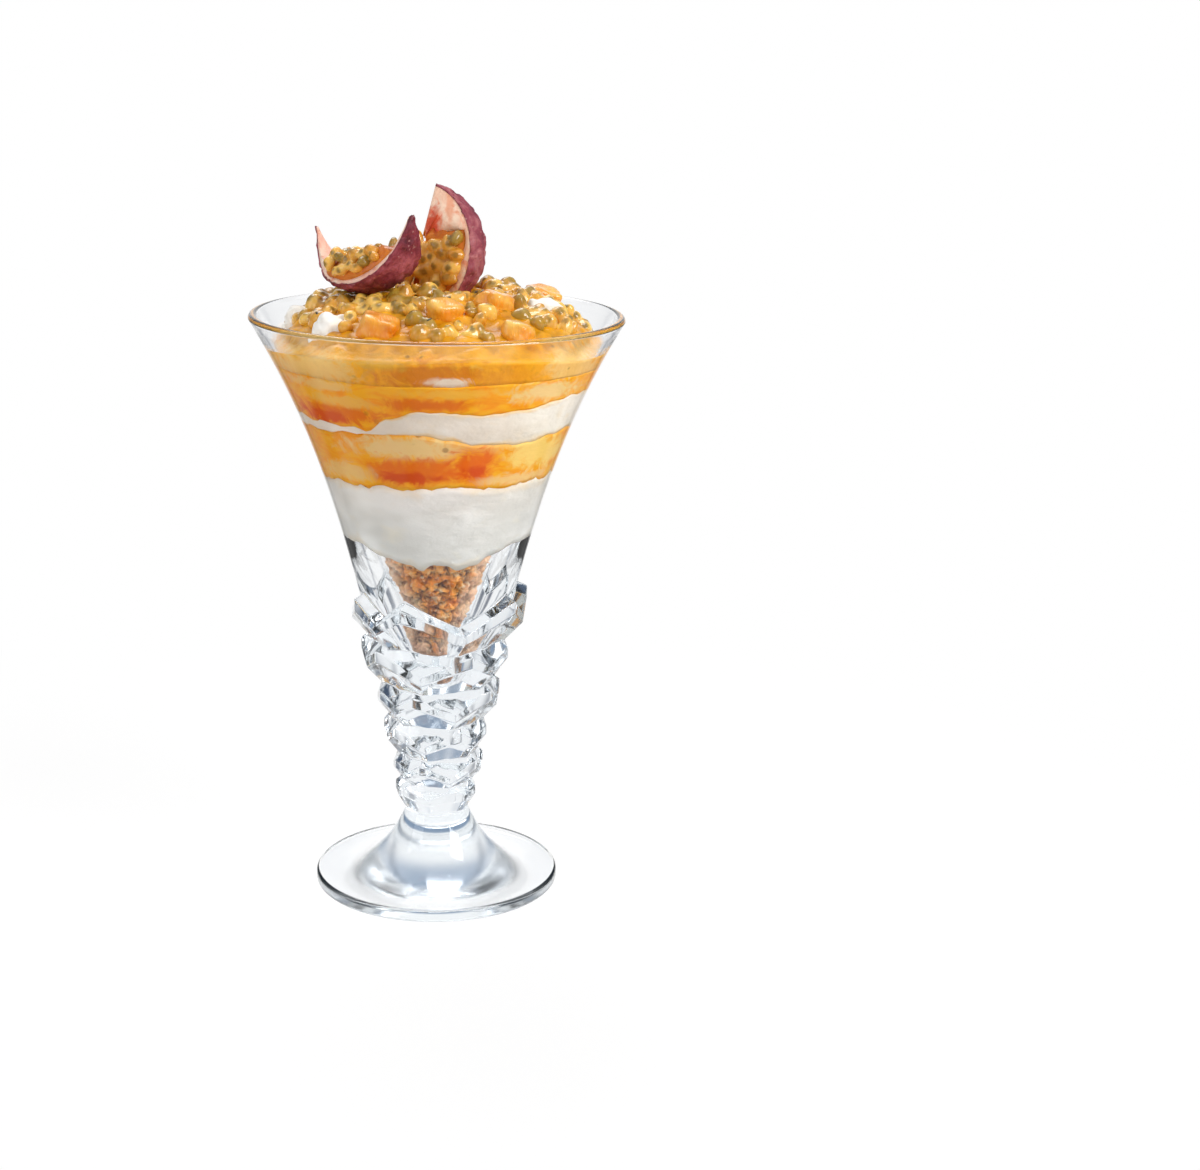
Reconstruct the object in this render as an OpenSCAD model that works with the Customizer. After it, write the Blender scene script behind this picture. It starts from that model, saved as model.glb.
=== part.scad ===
// Footed dessert glass with a flared bowl, a stem of stacked zigzag facets and a round foot,
// filled with a layered passion-fruit and mango parfait and topped with two fruit wedges.
// Millimetres. Z is up, the foot stands on z = 0, the front of the glass faces -Y.

/* [Glass] */
// Outside diameter of the rim
rim_d = 112; // [100:1:124]
// Height of the bowl above the stem
bowl_h = 85.4; // [80:0.2:96]
// Wall thickness at the rim
rim_wall = 2.7; // [2.2:0.1:3.4]
// Extra wall thickness where the bowl meets the stem
base_wall = 7; // [6:0.1:7.4]
// Depth the cavity reaches down into the stem
well_depth = 22.6; // [18:0.2:24]
// Half angle of the cavity inside the stem
well_angle = 23.2; // [20:0.2:24]
// Diameter of the foot
foot_d = 76; // [66:1:88]
// Thickness of the foot at its edge
foot_t = 3.8; // [3:0.1:5]
// Rounding of the foot's edge
foot_round = 1.2; // [0.8:0.1:1.4]
// Height of the neck, where the foot's flare ends
foot_h = 23.2; // [18:0.2:28]

/* [Stem] */
// Height of the faceted stem
stem_h = 71.4; // [66:0.2:80]
// Diameter of the stem where it meets the bowl
stem_d = 48; // [46:0.5:52]
// Diameter of the neck above the foot
neck_d = 19.6; // [17:0.2:23]
// How far the top ring of facets stands out from its roots
facet_out = 5.7; // [4.4:0.1:6.6]
// Height of the outer face of the top ring
facet_face = 3.9; // [3:0.1:4.6]
// Rise of the ledge from the top ring's outer face to the bowl
ledge_rise = 1.6; // [0.8:0.1:2.4]
// Rise of the zigzag's peaks on the top ring
peak_rise = 3.4; // [2:0.1:4]
// Drop of the zigzag's deep valleys on the top ring
valley_drop = 4.6; // [3:0.1:5.2]
// Turn of the whole facet pattern about the axis, degrees
facet_turn = 17; // [0:1:60]

/* [Serving] */
// Percent of the layered depth that is crumble
crumble_percent = 40; // [34:1:43]
// Percent of the layered depth that is the lower cream
cream_lower_percent = 25; // [21:1:28]
// Percent of the layered depth that is the lower fruit layer
coulis_lower_percent = 16.5; // [13:0.5:18]
// Percent of the layered depth that is the upper cream, the upper fruit layer takes the rest
cream_upper_percent = 8; // [7:0.5:9]
// Height of the topping's band along the glass
topping_band = 5.1; // [4:0.1:6]
// Level of the serving at the wall, below the rim
headroom = 8.5; // [7:0.5:12]
// Height of the mound above that level
mound_h = 14.8; // [10:0.2:18]
// Gap between the serving and the glass, and around the fruit wedges
fit_gap = 0.3; // [0.2:0.05:0.5]
// Radius of one fruit aril
aril_r = 2.7; // [2.2:0.1:3]
// Edge length of a mango piece
mango_a = 11; // [9:0.5:12]
// Radius of a cream dollop
dollop_r = 6; // [5:0.2:7]

/* [Fruit wedges] */
// Radius of the passion fruit the wedges are cut from
fruit_r = 20.5; // [18:0.5:21.5]
// Half of the angle each wedge spans
wedge_half = 33; // [28:1:36]
// Thickness of the dark skin
skin_t = 1.3; // [0.9:0.1:1.8]
// Thickness of the pale pith under the skin
pith_t = 3.1; // [2.5:0.1:3.8]
// Height above the fruit's middle from which the upright wedge is pith only
pith_tip = 5.3; // [2:0.1:9]
// Depth the upright wedge stands in the mound
wedge_sunk = 8.7; // [6:0.1:11]

/* [Hidden] */
$fn = 48;
rim_r = rim_d / 2;
foot_r = foot_d / 2;
stem_r = stem_d / 2;
neck_r = neck_d / 2;
stem_top = foot_h + stem_h;
glass_h = stem_top + bowl_h;
lip_r = rim_wall / 2;
lip_z = glass_h - lip_r;

// Outside of the bowl: a cone at the stem that flares more and more towards the rim.
function bowl_t(z) = (z - stem_top) / (lip_z - stem_top);
function flare(t) = 0.645 * t + 0.157 * t * t + 0.198 * t * t * t;
function bowl_out(z) = stem_r + (rim_r - stem_r) * flare(bowl_t(z));
// Inside of the bowl: thick glass at the stem, thin at the rim, and a cone down into the stem.
function wall_at(t) = rim_wall + base_wall * pow(max(0, 1 - t), 2.2);
function bowl_in(z) = bowl_out(z) - wall_at(bowl_t(z));
function cav_r(z) = z >= stem_top ? bowl_in(z)
  : bowl_in(stem_top) - tan(well_angle) * (stem_top - z);
cav_z = stem_top - well_depth;
cav_low = cav_r(cav_z);

// Stem rings from the top one down. Heights are shares of the stem's height below the bowl,
// root radii lie between the neck's and the stem's, and the lower rings are finer.
ridge_at = [0.069, 0.279, 0.466, 0.632, 0.786, 0.906];
root_at = [-0.027, 0.204, 0.398, 0.567, 0.725, 0.856, 0.985];
root_in = [1, 0.77, 0.52, 0.33, 0.17, 0.08, 0.02];
finer = [1, 0.8, 0.68, 0.57, 0.52, 0.44];
zigzag = [1, 0.73, 0.63, 0.51, 0.43, 0.26];
step_a = [0, 40, 60, 80];
function root_z(i) = stem_top - root_at[i] * stem_h;
function root_r(i) = neck_r + (stem_r - neck_r) * root_in[i];
function ridge_z(i) = stem_top - ridge_at[i] * stem_h;
function ridge_r(i) = (root_r(i) + root_r(i + 1)) / 2 + facet_out * finer[i];
// Outside of the plain cone that the bowl ends in, down to the first valley.
function core_r(z) = 0.98 * root_r(1)
  + (stem_r - 0.98 * root_r(1)) * (z - root_z(1)) / (stem_top - root_z(1));

// Serving: heights of the surfaces between the layers at the wall, for a turn a from the front.
bed_z = cav_z + 0.15 * cav_low + fit_gap;
fill_z = glass_h - headroom;
crumb_top = crumble_percent;
cream_top = crumb_top + cream_lower_percent;
fruit_top = cream_top + coulis_lower_percent;
cream2_top = fruit_top + cream_upper_percent;
// Heights of the surfaces at the wall, their ripple along it and their rise in the middle, all
// in percent of the layered depth.
share = [0, crumb_top, cream_top, fruit_top, cream2_top, 100];
dome = [0, 1, 0.8, -1, 1, -0.4];
function ripple(i, a) = i == 1 ? -3.2 * cos(2 * a) + 0.6 * sin(5 * a)
  : i == 2 ? 0.8 * sin(3 * a) + 0.5 * sin(4 * a + 40)
  : i == 3 ? cos(4 * a + 20) - sin(a)
  : i == 4 ? 2.6 * sin(a) + 1.8 * cos(6 * a + 30)
  : i == 5 ? 0.4 * sin(3 * a) : 0;
layered_d = fill_z - topping_band - bed_z;
function layer_z(percent) = bed_z + layered_d * percent / 100;
function edge_z(i, a) = i == 6 ? fill_z : layer_z(share[i] + ripple(i, a));
top_r = cav_r(fill_z) - fit_gap;
function mound_z(r) = fill_z + mound_h * (1 - pow(min(1, r / top_r), 3.5));
lump_h = 0.1 * mound_h;
function lump(x, y) = 0.5 + 0.3 * sin(1500 * x + 830 * y) + 0.2 * sin(1120 * y - 930 * x + 40);
function surf_z(i, a, f) = i == 6
  ? mound_z(top_r * f) + lump_h * lump(f * cos(a), f * sin(a)) * (1 - pow(f, 6))
  : layer_z(share[i] + dome[i] + (ripple(i, a) - dome[i]) * f * f);

// Fruit wedges: the centres of the two fruits they are cut from.
left_xy = fruit_r * [-1.06, -0.195];
left_c = [left_xy.x, left_xy.y, mound_z(norm(left_xy)) + fruit_r + fit_gap];
right_xy = fruit_r * [-0.27, 0.34];
right_c = [right_xy.x, right_xy.y, fill_z + mound_h + fruit_r - wedge_sunk];
// Mango pieces and cream dollops, placed by shares of the mound's radius.
mango_at = [[0.04, -0.58, 20], [0.34, -0.38, 50], [-0.34, -0.7, -15], [0.46, -0.68, 70],
  [-0.16, 0.6, 35], [0.64, 0.24, 10]];
cream_at = [[-0.62, -0.48], [0.63, -0.18], [-0.82, 0.04], [0.16, 0.74], [-0.48, 0.52]];
mango_xy = [for (m = mango_at) [m.x, m.y] * top_r];
cream_xy = [for (c = cream_at) c * top_r];
// Arils lie on a spiral over the mound, clear of the pieces that sit on it.
aril_n = 120;
function spiral(i) = let (r = (top_r - 1.5 * aril_r) * sqrt((i + 0.5) / aril_n), a = i * 137.508)
  [r * cos(a), r * sin(a)];
function clear_of(p, list, d) = min([for (q = list) norm(p - q)]) > d;
aril_xy = [for (i = [0 : aril_n - 1]) let (p = spiral(i))
  if (clear_of(p, mango_xy, 0.72 * mango_a + aril_r) && clear_of(p, cream_xy, dollop_r + aril_r)
    && norm(p - left_xy) > 0.77 * fruit_r
    && norm(p - right_xy - [0.2 * fruit_r, 0]) > 0.87 * fruit_r) p];
aril_c = [for (p = aril_xy) [p.x, p.y, mound_z(norm(p)) + 0.5 * aril_r]];
seed_r = aril_r * 0.44;
function seed_c(c) = c + aril_r * [0.25 * sin(9 * atan2(c.y, c.x)), -0.32, 0.58];

// One closed ring of the stem: twelve columns of four points, and a point above and below.
module tier(i) {
  turn = facet_turn - (i % 2 == 0 ? 0 : 30);
  up = zigzag[i] * peak_rise;
  down = zigzag[i] * valley_drop;
  cols = [for (k = [0 : 2], m = [0 : 3])
    let (a = turn + 120 * k + step_a[m],
      dz = m == 0 ? -down : m == 2 ? -0.56 * down : up,
      r = ridge_r(i) * (m == 0 ? 0.97 : m == 2 ? 0.96 : 1),
      h = facet_face * sqrt(finer[i]) * (m % 2 == 0 ? 0.38 : 0.5),
      top = i == 0 ? ridge_z(0) + dz + h + ledge_rise : root_z(i) + 0.35 * dz)
    each [
      [a, 0.94 * (i == 0 ? core_r(top) : root_r(i)), top],
      [a, r, ridge_z(i) + dz + h],
      [a, r, ridge_z(i) + dz - h],
      [a, 0.9 * root_r(i + 1), root_z(i + 1) + 0.35 * dz]]];
  pts = [for (c = cols) [c[1] * sin(c[0]), -c[1] * cos(c[0]), c[2]]];
  tip = [[0, 0, root_z(i)], [0, 0, root_z(i + 1)]];
  side = [for (c = [0 : 11], q = [0 : 2]) let (p = 4 * c + q, n = 4 * ((c + 1) % 12) + q)
    each [[p, p + 1, n], [n, p + 1, n + 1]]];
  caps = [for (c = [0 : 11]) let (p = 4 * c, n = 4 * ((c + 1) % 12))
    each [[p, n, 48], [n + 3, p + 3, 49]]];
  polyhedron(points = concat(pts, tip), faces = [for (f = concat(side, caps)) [f[0], f[2], f[1]]]);
}

module glass_outline() {
  edge_r = foot_r - foot_round;
  foot = [for (s = [0 : 0.1 : 1]) [edge_r + (neck_r - edge_r) * s,
    foot_t + (foot_h - foot_t) * pow(s, 3.2)]];
  low = [for (a = [-90 : 30 : 0]) [edge_r + foot_round * cos(a), foot_round * (1 + sin(a))]];
  high = [for (a = [0 : 30 : 60]) [edge_r + foot_round * cos(a), foot_t - foot_round * (1 - sin(a))]];
  core = [for (i = [6 : -1 : 1]) [0.98 * root_r(i), root_z(i)]];
  bowl = [for (s = [0 : 1 / 16 : 1]) let (z = stem_top + (lip_z - stem_top) * s)
    [bowl_out(z), z]];
  lip = [for (a = [20 : 20 : 160]) [rim_r - lip_r + lip_r * cos(a), lip_z + lip_r * sin(a)]];
  polygon(concat(
    [[0, 0]], low, high, foot, core, bowl, lip, [[rim_r - rim_wall, lip_z], [0, lip_z]]));
}

module cavity_outline() {
  bowl = [for (s = [0 : 1 / 16 : 1]) let (z = stem_top + (lip_z - stem_top) * s)
    [bowl_in(z), z]];
  polygon(concat(
    [[0, cav_z - 0.5 * cav_low], [0.42 * cav_low, cav_z - 0.44 * cav_low],
      [0.75 * cav_low, cav_z - 0.26 * cav_low], [cav_low, cav_z]],
    bowl, [[rim_r - rim_wall, glass_h + rim_wall], [0, glass_h + rim_wall]]));
}

module glass() {
  color("#dfe8ee", 0.4) difference() {
    union() {
      rotate_extrude($fn = 96) glass_outline();
      for (i = [0 : 5]) tier(i);
    }
    rotate_extrude($fn = 96) cavity_outline();
  }
}

// A layer of the serving between surface i and surface i + 1, closed along the bowl's wall. Both
// layers at a surface split it into the same triangles, so they meet face to face.
module layer(i, nr = 4) {
  na = 36;
  low_nr = 4;
  ns = 3;
  function at(j, a, f) = let (z = surf_z(j, a, f), r = (cav_r(edge_z(j, a)) - fit_gap) * f)
    [r * sin(a), -r * cos(a), z];
  low = [for (j = [1 : low_nr], k = [0 : na - 1]) at(i, 360 / na * k, j / low_nr)];
  wall = [for (s = [1 : ns - 1], k = [0 : na - 1])
    let (a = 360 / na * k, z = edge_z(i, a) + (edge_z(i + 1, a) - edge_z(i, a)) * s / ns,
      r = cav_r(z) - fit_gap) [r * sin(a), -r * cos(a), z]];
  high = [for (j = [nr : -1 : 1], k = [0 : na - 1]) at(i + 1, 360 / na * k, j / nr)];
  pts = concat(low, wall, high, [at(i, 0, 0), at(i + 1, 0, 0)]);
  rings = low_nr + nr + ns - 1;
  band = [for (q = [0 : rings - 2], k = [0 : na - 1])
    let (p = q * na + k, n = q * na + (k + 1) % na)
    each (q < low_nr + ns - 1 ? [[p, p + na, n], [n, p + na, n + na]]
      : [[p, p + na, n + na], [p, n + na, n]])];
  ends = [for (k = [0 : na - 1]) let (n = (k + 1) % na, b = (rings - 1) * na)
    each [[k, n, rings * na], [b + n, b + k, rings * na + 1]]];
  polyhedron(points = pts, faces = concat(band, ends));
}

module crumble() {
  color("#c98a45") layer(0);
}

module cream_lower() {
  color("#f4f1e8") layer(1);
}

module coulis_lower() {
  color("#e8912a") layer(2);
}

module cream_upper() {
  color("#f4f1e8") layer(3);
}

module coulis_upper() {
  color("#f0a52c") layer(4);
}

module mango_blocks() {
  for (p = mango_at)
    translate([p.x * top_r, p.y * top_r, mound_z(norm([p.x, p.y]) * top_r) + 0.05 * mango_a])
      rotate([8, 12, p.z]) cube([mango_a, mango_a * 0.8, mango_a * 0.62], center = true);
}

module dollop_balls() {
  for (p = cream_xy) translate([p.x, p.y, mound_z(norm(p)) - 0.5 * dollop_r]) sphere(dollop_r);
}

module aril_balls() {
  for (c = aril_c) translate(c) sphere(aril_r);
}

module seed_balls() {
  for (c = aril_c) translate(seed_c(c)) sphere(seed_r);
}

module topping() {
  color("#dca436") difference() {
    layer(5, nr = 7);
    mango_blocks();
    dollop_balls();
    aril_balls();
    translate(left_c) sphere(fruit_r + fit_gap);
    right_turn() intersection() {
      sphere(fruit_r + fit_gap);
      translate([-fit_gap / sin(wedge_half), 0, 0]) sector();
    }
  }
}

module mango() {
  color("#f2a227") mango_blocks();
}

module cream_dollops() {
  color("#f7f3ea") dollop_balls();
}

module arils() {
  color("#c9a02c", 0.7) difference() {
    aril_balls();
    seed_balls();
  }
}

module seeds() {
  color("#3a3a20") seed_balls();
}

// Space a wedge may fill: the fruit's poles lie on Z and the wedge points along +X.
module sector() {
  far = 1.5 * fruit_r;
  w = far * tan(wedge_half);
  translate([0, 0, -far]) linear_extrude(2 * far) polygon([[0, 0], [far, -w], [far, w]]);
}

module left_turn() {
  translate(left_c) rotate([0, 0, -42]) rotate([0, -9, 0]) rotate([2, 0, 0]) rotate([0, 90, 0])
    children();
}

module right_turn() {
  translate(right_c) rotate([0, 12, 0]) rotate([0, 0, -7]) children();
}

module skin() {
  intersection() {
    difference() {
      sphere(fruit_r);
      sphere(fruit_r - skin_t);
    }
    sector();
  }
}

// Room under the pith, up to the height from which there is only pith.
module hollow(tip) {
  intersection() {
    sphere(fruit_r - skin_t - pith_t);
    translate([-2 * fruit_r, -2 * fruit_r, tip - 4 * fruit_r]) cube(4 * fruit_r);
  }
}

module pith(tip) {
  difference() {
    intersection() {
      sphere(fruit_r - skin_t);
      sector();
    }
    hollow(tip);
  }
}

module pulp(depth, tip) {
  difference() {
    intersection() {
      hollow(tip);
      sector();
    }
    translate([-depth * fruit_r, 0, 0]) sphere(fruit_r - skin_t - 0.35 * pith_t);
  }
}

module left_skin() {
  color("#5e2130") left_turn() skin();
}

module left_pith() {
  color("#ecc9bb") left_turn() pith(fruit_r);
}

module left_pulp() {
  color("#cf8f2c") left_turn() pulp(0.39, fruit_r);
}

module right_skin() {
  color("#7a2b3c") right_turn() skin();
}

module right_pith() {
  color("#ecc9bb") right_turn() pith(pith_tip);
}

module right_pulp() {
  color("#cf8f2c") right_turn() pulp(0.8, pith_tip);
}

glass();
crumble();
cream_lower();
coulis_lower();
cream_upper();
coulis_upper();
topping();
mango();
cream_dollops();
arils();
seeds();
left_skin();
left_pith();
left_pulp();
right_skin();
right_pith();
right_pulp();
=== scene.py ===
# %% [markdown]
# # A layered parfait in a pressed dessert glass
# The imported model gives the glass, the layers and the fruit as plain solids in their right
# places. This lesson dresses them: each piece is rebuilt with the form and finish of the real
# one, and rides on the body that carries it. Lengths are worked out in millimetres, as on a
# drawing, and turned to metres once, where a mesh is made.

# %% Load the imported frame
import bpy, bmesh, math, random
from math import cos, sin, radians
from mathutils import Euler, Matrix, Vector, kdtree, noise


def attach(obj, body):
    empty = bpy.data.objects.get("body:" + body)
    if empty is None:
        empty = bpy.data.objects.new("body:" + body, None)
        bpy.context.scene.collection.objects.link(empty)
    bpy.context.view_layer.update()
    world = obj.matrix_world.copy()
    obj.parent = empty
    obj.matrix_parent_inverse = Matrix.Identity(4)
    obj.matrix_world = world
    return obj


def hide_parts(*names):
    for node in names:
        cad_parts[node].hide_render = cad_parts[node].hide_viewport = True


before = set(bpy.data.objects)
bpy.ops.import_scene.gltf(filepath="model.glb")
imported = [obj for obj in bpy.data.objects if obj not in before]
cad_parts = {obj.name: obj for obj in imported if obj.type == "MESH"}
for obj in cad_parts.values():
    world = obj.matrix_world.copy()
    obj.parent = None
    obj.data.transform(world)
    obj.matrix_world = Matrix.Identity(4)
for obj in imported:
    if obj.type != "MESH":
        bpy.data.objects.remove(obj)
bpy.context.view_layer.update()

MM = 0.001

# %% [markdown]
# The camera stands as the photographer did: 65 cm in front of the glass and a little above it,
# with a long lens. A matrix of the three view axes sets it exactly, where angles would leave the
# order of turns open. The last angle is the small roll of the picture.

# %% Camera
def show(name, data):
    """Puts some data into the scene as an object."""
    made = bpy.data.objects.new(name, data)
    bpy.context.scene.collection.objects.link(made)
    return made


def place_camera(where, yaw, pitch, roll, lens):
    ahead = Vector((-sin(yaw) * cos(pitch), cos(yaw) * cos(pitch), -sin(pitch)))
    side = Vector((cos(yaw), sin(yaw), 0))
    above = side.cross(ahead)
    right = side * cos(roll) + above * sin(roll)
    up = above * cos(roll) - side * sin(roll)
    data = bpy.data.cameras.new("photo_camera")
    data.lens, data.sensor_width, data.sensor_fit = lens, 36, "HORIZONTAL"
    data.clip_start, data.clip_end = 0.01, 200
    camera = show("photo_camera", data)
    turn = Matrix((right, up, -ahead)).transposed().to_4x4()
    camera.matrix_world = Matrix.Translation(where) @ turn
    bpy.context.scene.camera = camera
    return camera


camera = place_camera(Vector((0, -0.65374, 0.27724)), yaw=-0.0767, pitch=0.2698, roll=0.0222,
                      lens=65.905)
print("camera lens:", round(camera.data.lens, 1), "mm")

# %% [markdown]
# A finish is a small network of nodes. Written as Python expressions it reads like a recipe, so
# one class wraps a socket: `mask * 0.5 + 0.2` adds the Math nodes, and `node` adds any other
# node. Where a recipe gives a string, it is a swatch code, and `colour` turns it to the linear
# values that light needs.

# %% Shader recipes
class Sock:
    def __init__(self, finish, socket):
        self.finish, self.socket = finish, socket

    def math(self, operation, *others, clamp=False):
        return self.finish.node(
            "ShaderNodeMath", dict(operation=operation, use_clamp=clamp),
            **{str(i): v for i, v in enumerate((self, *others))})

    def __add__(self, other): return self.math("ADD", other)
    def __sub__(self, other): return self.math("SUBTRACT", other)
    def __mul__(self, other): return self.math("MULTIPLY", other)
    def __truediv__(self, other): return self.math("DIVIDE", other)
    def __pow__(self, other): return self.math("POWER", other)
    def __radd__(self, other): return self.math("ADD", other)
    def __rmul__(self, other): return self.math("MULTIPLY", other)
    def __rsub__(self, other): return self.math("MULTIPLY", -1) + other
    def clamp(self): return self.math("ADD", 0.0, clamp=True)

    def step(self, low, high):
        return self.finish.node(
            "ShaderNodeMapRange", dict(interpolation_type="SMOOTHSTEP"), Value=self,
            **{"From Min": low, "From Max": high})

    def axis(self, name):
        split = self.finish.node("ShaderNodeSeparateXYZ", {}, Vector=self)
        return Sock(self.finish, split.socket.node.outputs[name])


class Finish:
    """A material, or the world, whose nodes are added by name."""

    def __init__(self, name, tree=None):
        if tree is None:
            self.material = bpy.data.materials.new(name)
            self.material.use_nodes = True
            tree = self.material.node_tree
        self.tree = tree
        self.tree.nodes.clear()

    def node(self, kind, settings, out=0, **sockets):
        made = self.tree.nodes.new(kind)
        for key, value in settings.items():
            if key == "stops":
                while len(made.color_ramp.elements) < len(value):
                    made.color_ramp.elements.new(0.5)
                for element, (place, code) in zip(made.color_ramp.elements, value):
                    element.position, element.color = place, colour(code)
            else:
                setattr(made, key, value)
        for key, value in sockets.items():
            socket = made.inputs[int(key) if key.isdigit() else key]
            if isinstance(value, Sock):
                self.tree.links.new(value.socket, socket)
            else:
                socket.default_value = colour(value) if isinstance(value, str) else value
        return None if out is None else Sock(self, made.outputs[out])

    def place(self, scale=(1, 1, 1)):
        here = self.node("ShaderNodeTexCoord", {}, out="Object")
        return self.node("ShaderNodeMapping", {}, Vector=here, Scale=[1000 * s for s in scale])

    def noise(self, where, size, detail=3.0, rough=0.55, warp=0.0):
        return self.node("ShaderNodeTexNoise", {}, out="Fac", Vector=where, Scale=1 / size,
                         Detail=detail, Roughness=rough, Distortion=warp)

    def cells(self, where, size):
        return self.node("ShaderNodeTexVoronoi", {}, out="Distance", Vector=where, Scale=1 / size)

    def mix(self, factor, one, two):
        """Mixes two colours, which are the Mix node's sockets 6 and 7 and its output 2."""
        return self.node("ShaderNodeMix", dict(data_type="RGBA"), out=2,
                         **{"0": factor, "6": one, "7": two})

    def blend(self, factor, one, two):
        """Mixes two shaders."""
        return self.node("ShaderNodeMixShader", {}, **{"0": factor, "1": one, "2": two})

    def ramp(self, value, *stops):
        return self.node("ShaderNodeValToRGB", dict(stops=stops), out="Color", Fac=value)

    def bump(self, height, depth):
        return self.node("ShaderNodeBump", {}, Height=height, Distance=depth * MM, Strength=1.0)

    def ray(self, kind):
        return self.node("ShaderNodeLightPath", {}, out=kind)

    def only_glass(self):
        """1 for a ray that has met nothing but glass on its way."""
        return 1 - self.ray("Diffuse Depth").clamp()

    def attribute(self, name):
        return self.node("ShaderNodeAttribute", dict(attribute_name=name), out="Fac")

    def principled(self, **sockets):
        return self.node("ShaderNodeBsdfPrincipled", {}, **sockets)

    def done(self, **shaders):
        """Ends the recipe: gives the shaders to the material's output."""
        self.node("ShaderNodeOutputMaterial", {}, out=None, **shaders)
        return self.material


def colour(code):
    """Linear red, green and blue of a swatch code such as EDEAE2."""
    parts = [int(code[i:i + 2], 16) / 255 for i in (0, 2, 4)]
    return [c / 12.92 if c <= 0.04045 else ((c + 0.055) / 1.055) ** 2.4 for c in parts] + [1]


print("cream swatch, linear:", [round(c, 2) for c in colour("EDEAE2")])

# %% [markdown]
# Most pieces here are rings of points around an upright axis: the glass, the layers and the
# mound. One helper skins a stack of rings, closes both ends with a point, and hands the piece to
# the frame, saying which body carries it and which plain solid it stands for.

# %% Mesh helpers
def smooth(mesh):
    mesh.polygons.foreach_set("use_smooth", [True] * len(mesh.polygons))


def skin_rings(rings, first, last):
    columns = len(rings[0])
    points = [p for ring in rings for p in ring] + [first, last]
    faces = []
    for q in range(len(rings) - 1):
        for k in range(columns):
            a, b = q * columns + k, q * columns + (k + 1) % columns
            faces.append((a, b, b + columns, a + columns))
    top = (len(rings) - 1) * columns
    for k in range(columns):
        n = (k + 1) % columns
        faces.append((n, k, len(points) - 2))
        faces.append((top + k, top + n, len(points) - 1))
    return points, faces


def make_piece(name, points, faces, finish, body, nodes=(), slot=None):
    mesh = bpy.data.meshes.new(name)
    mesh.from_pydata([Vector(p) * MM for p in points], [], faces)
    mesh.validate()
    work = bmesh.new()
    work.from_mesh(mesh)
    bmesh.ops.recalc_face_normals(work, faces=work.faces)
    work.to_mesh(mesh)
    work.free()
    smooth(mesh)
    mesh.materials.append(finish)
    piece = show(name, mesh)
    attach(piece, body)
    if nodes:
        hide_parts(*nodes)
    print(f"{name}: {len(mesh.polygons)} faces")
    return piece


def keep_numbers(piece, key, values):
    """Stores a number at every point of a piece, for its finish."""
    layer = piece.data.attributes.new(key, "FLOAT", "POINT")
    layer.data.foreach_set("value", values)


def turn_to(angle, radius, z):
    """A point at an angle from the front, counted towards the right."""
    return (radius * sin(radians(angle)), -radius * cos(radians(angle)), z)


# %% [markdown]
# The glass is one pressed piece. Its outline is a list of radii: a flat foot, a neck, a stem of
# stacked rings, and a bowl that flares more and more to the rim. The inside is a smooth cone that
# runs down into the stem, so the glass is thick there and thin at the rim. The same numbers as in
# the plain model are used, because the food has to fit this cavity.

# %% The glass in numbers
RIM_R, FOOT_R, STEM_R, NECK_R = 56.0, 38.0, 24.0, 9.8
FOOT_T, FOOT_ROUND, FOOT_H, STEM_H, BOWL_H = 3.8, 1.2, 23.2, 71.4, 85.4
RIM_WALL, BASE_WALL, WELL_DEPTH, WELL_ANGLE = 2.7, 7.0, 22.6, 23.2
STEM_TOP = FOOT_H + STEM_H
GLASS_H = STEM_TOP + BOWL_H
LIP_R = RIM_WALL / 2
LIP_Z = GLASS_H - LIP_R


def bowl_out(z):
    t = (z - STEM_TOP) / (LIP_Z - STEM_TOP)
    return STEM_R + (RIM_R - STEM_R) * (0.645 * t + 0.157 * t * t + 0.198 * t ** 3)


def bowl_in(z):
    t = (z - STEM_TOP) / (LIP_Z - STEM_TOP)
    return bowl_out(z) - RIM_WALL - BASE_WALL * max(0.0, 1 - t) ** 2.2


def cavity_r(z):
    if z >= STEM_TOP:
        return bowl_in(z)
    return bowl_in(STEM_TOP) - math.tan(radians(WELL_ANGLE)) * (STEM_TOP - z)


CAVITY_Z = STEM_TOP - WELL_DEPTH
CAVITY_LOW = cavity_r(CAVITY_Z)
print("cavity radius at its foot, stem top and brim:",
      [round(cavity_r(z), 1) for z in (CAVITY_Z, STEM_TOP, LIP_Z)])

# %% [markdown]
# The stem's rings are zigzag collars of flat facets. Each collar has an upper and a lower ridge
# line, and between two collars lies a valley. All of these lines are rings of the same 144
# columns, so the stem and the bowl are one closed skin, which glass needs: a ray must enter and
# leave it once. A bevel then rounds the edges of the facets, as the mould does, and gives the
# small bright lines on them.

# %% Ridges and valleys of the stem
RIDGE_AT = [0.069, 0.279, 0.466, 0.632, 0.786, 0.906]
ROOT_AT = [-0.027, 0.204, 0.398, 0.567, 0.725, 0.856, 0.985]
ROOT_IN = [1, 0.77, 0.52, 0.33, 0.17, 0.08, 0.02]
FINER = [1, 0.8, 0.68, 0.57, 0.52, 0.44]
ZIGZAG = [1, 0.73, 0.63, 0.51, 0.43, 0.26]
STEPS = [0, 40, 60, 80, 120]
FACET_OUT, FACET_FACE, PEAK_RISE, VALLEY_DROP, FACET_TURN, LEDGE_RISE = 5.7, 3.9, 3.4, 4.6, 17, 1.6
COLUMNS = 144
ANGLES = [FACET_TURN + 360 / COLUMNS * k for k in range(COLUMNS)]
root_z = [STEM_TOP - s * STEM_H for s in ROOT_AT]
root_r = [NECK_R + (STEM_R - NECK_R) * s for s in ROOT_IN]


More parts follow.
